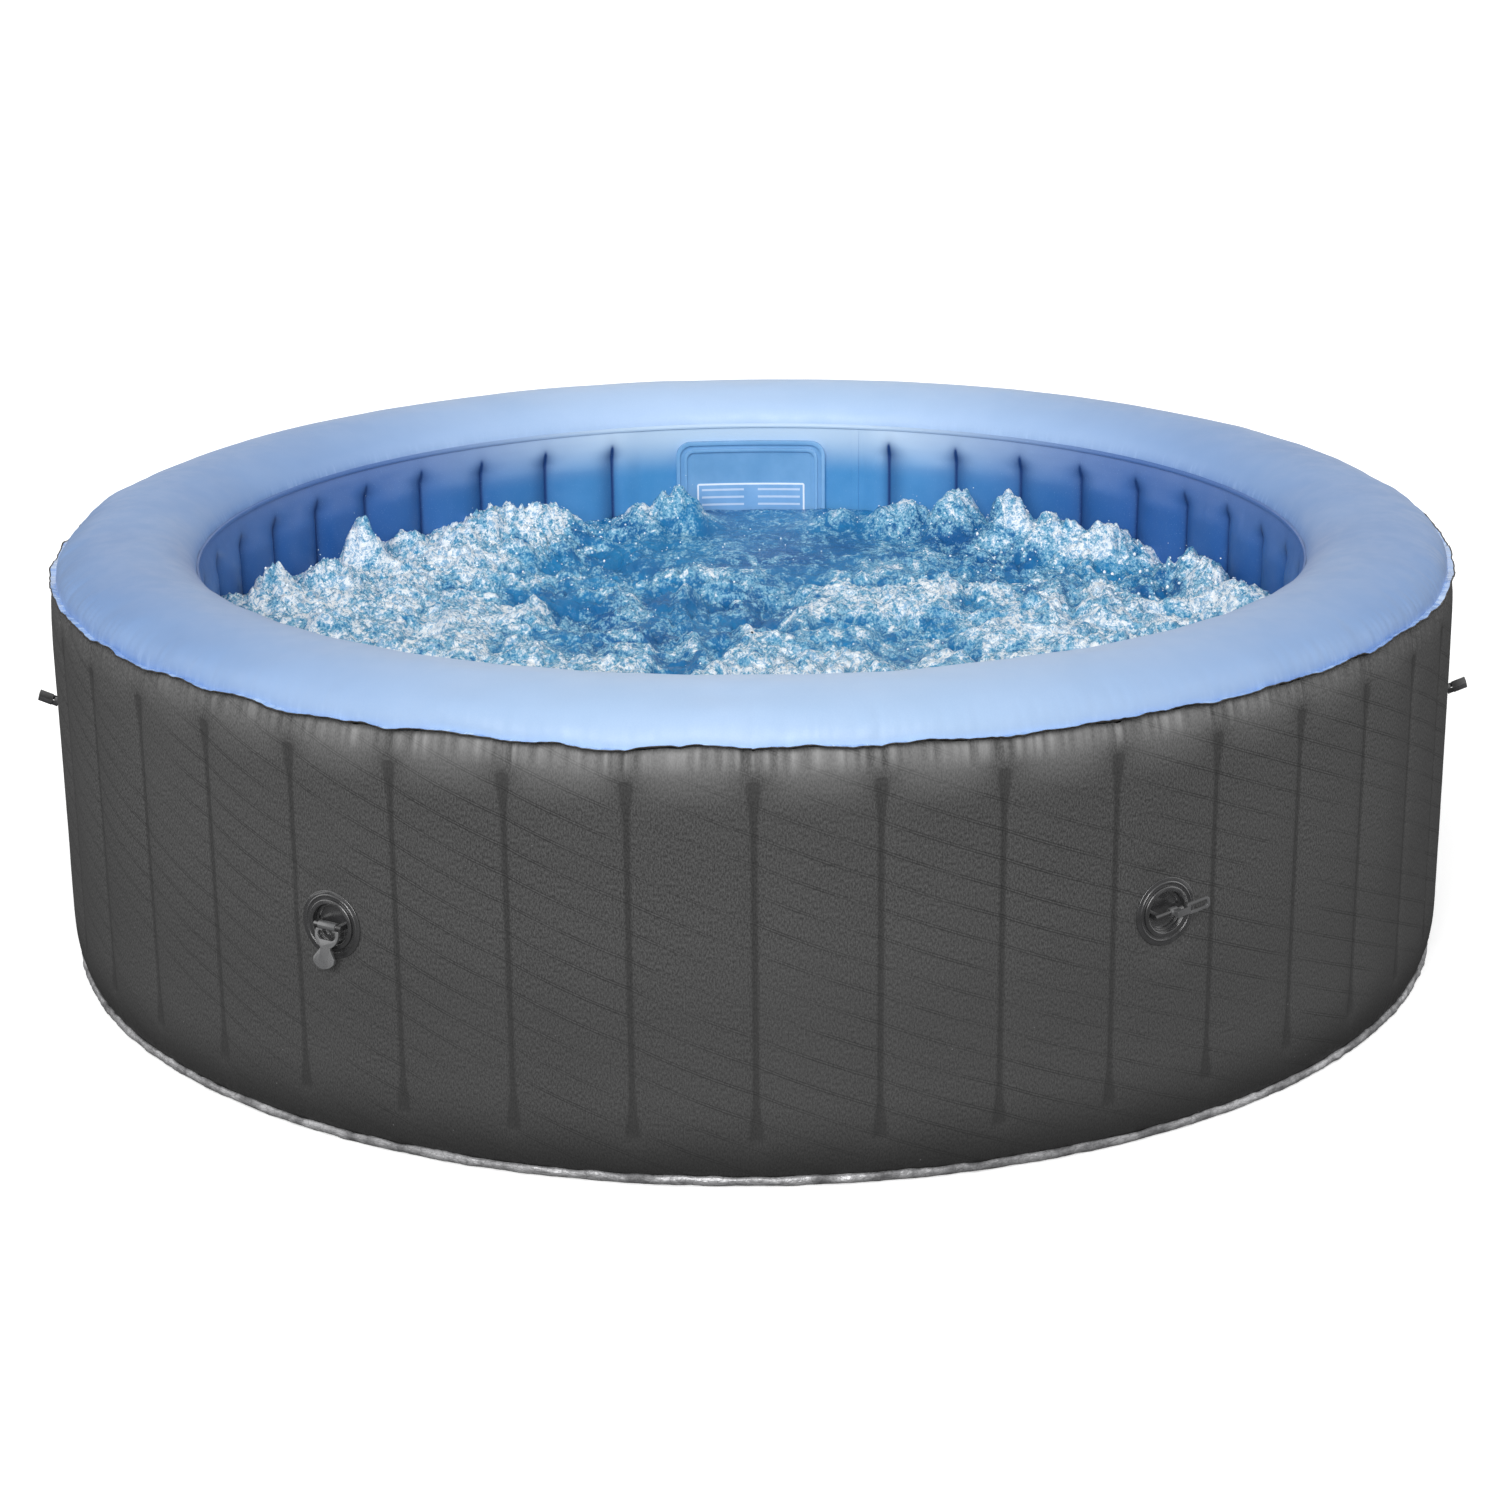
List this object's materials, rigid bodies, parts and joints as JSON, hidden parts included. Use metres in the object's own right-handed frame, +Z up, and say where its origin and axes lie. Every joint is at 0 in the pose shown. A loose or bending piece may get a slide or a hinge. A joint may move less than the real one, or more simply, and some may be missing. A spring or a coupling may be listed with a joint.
{
  "type": "inflatable hot tub",
  "caption": "Round inflatable hot tub with a beamed air wall, soft rim tube, basin, equipment panel, air valves, drain and built-in pump, heater and blower.",
  "frame": {"origin": "on the ground under the middle of the tub", "axes": "+Z up, front towards -Y, equipment panel at the back towards +Y, side clips towards -X and +X"},
  "size_m": [2.0774, 2.0398, 0.62],
  "materials": {
    "wall_skin": "charcoal laminated PVC with a woven emboss",
    "rim_skin": "light blue laminated PVC, satin",
    "basin_skin": "deep blue laminated PVC, semi-gloss",
    "weld_edge": "blue cut edge of the weld, glossy",
    "mat_foil": "foil-faced closed-cell foam",
    "beam_web": "scrim strips inside the air chamber",
    "panel_skin": "blue moulded panel with raised borders",
    "notice_white": "blank printed plate",
    "white_plastic": "white moulded plastic",
    "valve_pvc": "dark flexible moulded PVC",
    "tab_grey": "grey flexible moulded PVC",
    "dark_plastic": "black moulded plastic",
    "seal_rubber": "black seal rubber",
    "webbing": "black woven webbing",
    "steel": "stainless steel",
    "filter_paper": "pleated filter fleece",
    "hose_rubber": "black hose",
    "motor_paint": "dark painted motor shell",
    "circuit_green": "green circuit board",
    "case_grey": "light grey case"
  },
  "bodies": {
    "root": {"ground_mat": "mat_foil", "wall_base": "wall_skin", "floor_liner": "basin_skin", "outer_wall": "wall_skin", "inner_wall": "basin_skin", "top_tube": "rim_skin", "rim_weld_flange": "weld_edge", "basin_seam_bead": "basin_skin", "wall_beams": "beam_web", "inner_joint_strip": "basin_skin", "bubble_ring": "basin_skin", "equipment_panel": "panel_skin", "notice_plate": "notice_white", "filter_socket": "white_plastic", "return_fitting": "white_plastic", "left_valve_flange": "valve_pvc", "left_valve_body": "valve_pvc", "left_valve_spring": "steel", "right_valve_flange": "valve_pvc", "right_valve_body": "valve_pvc", "right_valve_spring": "steel", "left_clip_patch": "valve_pvc", "left_clip_strap": "webbing", "right_clip_patch": "valve_pvc", "right_clip_strap": "webbing", "unit_case": "case_grey", "suction_hose": "hose_rubber", "pump_housing": "dark_plastic", "pump_motor": "motor_paint", "pressure_hose": "hose_rubber", "heater_tube": "steel", "heater_element": "steel", "return_hose": "hose_rubber", "blower_housing": "dark_plastic", "blower_motor": "motor_paint", "check_valve": "white_plastic", "air_hose": "hose_rubber", "control_board": "circuit_green", "rear_cover": "wall_skin", "rear_cover_screws": "steel", "cable_gland": "dark_plastic", "drain_pipe": "white_plastic"},
    "left_valve_stem": {"left_valve_stem": "tab_grey"},
    "left_cap_seal": {"left_cap_seal": "seal_rubber"},
    "left_valve_cap": {"left_valve_cap": "valve_pvc"},
    "left_pull_tab": {"left_pull_tab": "tab_grey"},
    "left_buckle": {"left_clip_buckle": "dark_plastic"},
    "right_valve_stem": {"right_valve_stem": "tab_grey"},
    "right_cap_seal": {"right_cap_seal": "seal_rubber"},
    "right_valve_cap": {"right_valve_cap": "valve_pvc"},
    "right_pull_tab": {"right_pull_tab": "tab_grey"},
    "right_buckle": {"right_clip_buckle": "dark_plastic"},
    "filter_cartridge": {"filter_cartridge": "filter_paper"},
    "filter_cover": {"filter_cover": "white_plastic"},
    "pump_impeller": {"pump_impeller": "white_plastic"},
    "blower_fan": {"blower_fan": "white_plastic"},
    "check_flap": {"check_flap": "seal_rubber"},
    "drain_plug": {"drain_plug": "basin_skin"},
    "drain_gasket": {"drain_gasket": "seal_rubber"},
    "drain_cap": {"drain_cap": "basin_skin"}
  },
  "joints": [
    {"name": "left_stem_push", "type": "slide", "parent": "root", "child": "left_valve_stem", "axis": [0.5165, 0.8563, 0], "range_m": [0, 0.008], "stiffness_N_per_m": 250, "springref_m": -0.002},
    {"name": "left_cap_lift", "type": "slide", "parent": "root", "child": "left_cap_seal", "axis": [-0.5165, -0.8563, 0], "range_m": [0, 0.0121]},
    {"name": "left_cap_turn", "type": "hinge", "parent": "left_cap_seal", "child": "left_valve_cap", "pos_m": [-0.52531, -0.87082, 0.298], "axis": [-0.5165, -0.8563, 0], "range_deg": [0, 720]},
    {"name": "left_tab_swing", "type": "hinge", "parent": "left_valve_cap", "child": "left_pull_tab", "pos_m": [-0.52893, -0.87682, 0.298], "axis": [-0.8563, 0.5165, 0], "range_deg": [-10, 140], "stiffness_Nm_per_rad": 0.08},
    {"name": "left_buckle_swing", "type": "hinge", "parent": "root", "child": "left_buckle", "pos_m": [-1.01158, -0.15244, 0.371], "axis": [0.149, -0.9888, 0], "range_deg": [-45, 70]},
    {"name": "right_stem_push", "type": "slide", "parent": "root", "child": "right_valve_stem", "axis": [-0.5, 0.866, 0], "range_m": [0, 0.008], "stiffness_N_per_m": 250, "springref_m": -0.002},
    {"name": "right_cap_lift", "type": "slide", "parent": "root", "child": "right_cap_seal", "axis": [0.5, -0.866, 0], "range_m": [0, 0.0121]},
    {"name": "right_cap_turn", "type": "hinge", "parent": "right_cap_seal", "child": "right_valve_cap", "pos_m": [0.5085, -0.88075, 0.309], "axis": [0.5, -0.866, 0], "range_deg": [0, 720]},
    {"name": "right_tab_swing", "type": "hinge", "parent": "right_valve_cap", "child": "right_pull_tab", "pos_m": [0.512, -0.88681, 0.309], "axis": [-0.8576, -0.4951, -0.1392], "range_deg": [-65, 50], "stiffness_Nm_per_rad": 0.08},
    {"name": "right_buckle_swing", "type": "hinge", "parent": "root", "child": "right_buckle", "pos_m": [1.01158, -0.15244, 0.371], "axis": [0.149, 0.9888, 0], "range_deg": [-45, 70]},
    {"name": "filter_pull", "type": "slide", "parent": "root", "child": "filter_cartridge", "axis": [0, -1, 0], "range_m": [0, 0.14]},
    {"name": "filter_cover_turn", "type": "hinge", "parent": "filter_cartridge", "child": "filter_cover", "pos_m": [0, 0.75, 0.165], "axis": [0, -1, 0], "range_deg": [0, 60]},
    {"name": "pump_spin", "type": "hinge", "parent": "root", "child": "pump_impeller", "pos_m": [0, 0.872, 0.165], "axis": [0, 1, 0], "continuous": true},
    {"name": "blower_spin", "type": "hinge", "parent": "root", "child": "blower_fan", "pos_m": [-0.055, 0.872, 0.415], "axis": [0, 1, 0], "continuous": true},
    {"name": "flap_swing", "type": "hinge", "parent": "root", "child": "check_flap", "pos_m": [0.031, 0.877, 0.4695], "axis": [0, -1, 0], "range_deg": [0, 60]},
    {"name": "drain_plug_pull", "type": "slide", "parent": "root", "child": "drain_plug", "axis": [-0.5, -0.866, 0], "range_m": [0, 0.06]},
    {"name": "drain_cap_lift", "type": "slide", "parent": "root", "child": "drain_gasket", "axis": [0.5, 0.866, 0], "range_m": [0, 0.0121]},
    {"name": "drain_cap_turn", "type": "hinge", "parent": "drain_gasket", "child": "drain_cap", "pos_m": [0.5085, 0.88075, 0.07], "axis": [0.5, 0.866, 0], "range_deg": [0, 720]}
  ],
  "couplings": [
    {"joint": "left_cap_lift", "follows": "left_cap_turn", "m_per_rad": 0.00095493},
    {"joint": "right_cap_lift", "follows": "right_cap_turn", "m_per_rad": 0.00095493},
    {"joint": "drain_cap_lift", "follows": "drain_cap_turn", "m_per_rad": 0.00095493}
  ]
}
